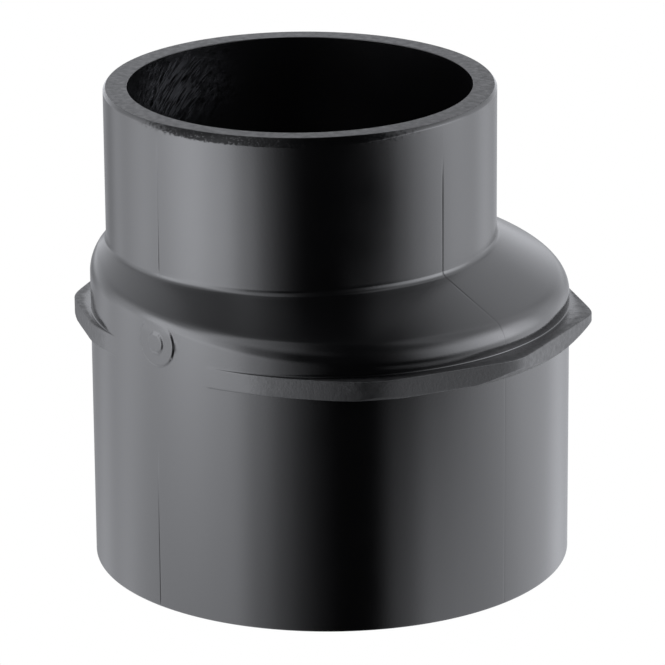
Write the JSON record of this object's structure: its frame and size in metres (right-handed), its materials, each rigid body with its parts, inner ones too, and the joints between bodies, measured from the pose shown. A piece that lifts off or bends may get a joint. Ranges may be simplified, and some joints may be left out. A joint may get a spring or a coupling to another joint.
{
  "type": "eccentric pipe reducer",
  "caption": "Black polyethylene eccentric reducer that joins a larger drain pipe to a smaller one, with plain spigots, a sloped shoulder and a flat collar.",
  "frame": {"origin": "centre of the large spigot's end face, on the large spigot's axis", "axes": "+Z along both spigots, from the large end to the small end; +X towards the side where the step between the spigots is widest, so the small spigot's axis is 9.2 mm to -X; -Y towards the moulding gate"},
  "size_m": [0.1186, 0.1106, 0.1099],
  "materials": {
    "black_pe": "satin moulded black polyethylene"
  },
  "bodies": {
    "root": {"reducer_body": "black_pe"}
  },
  "joints": []
}
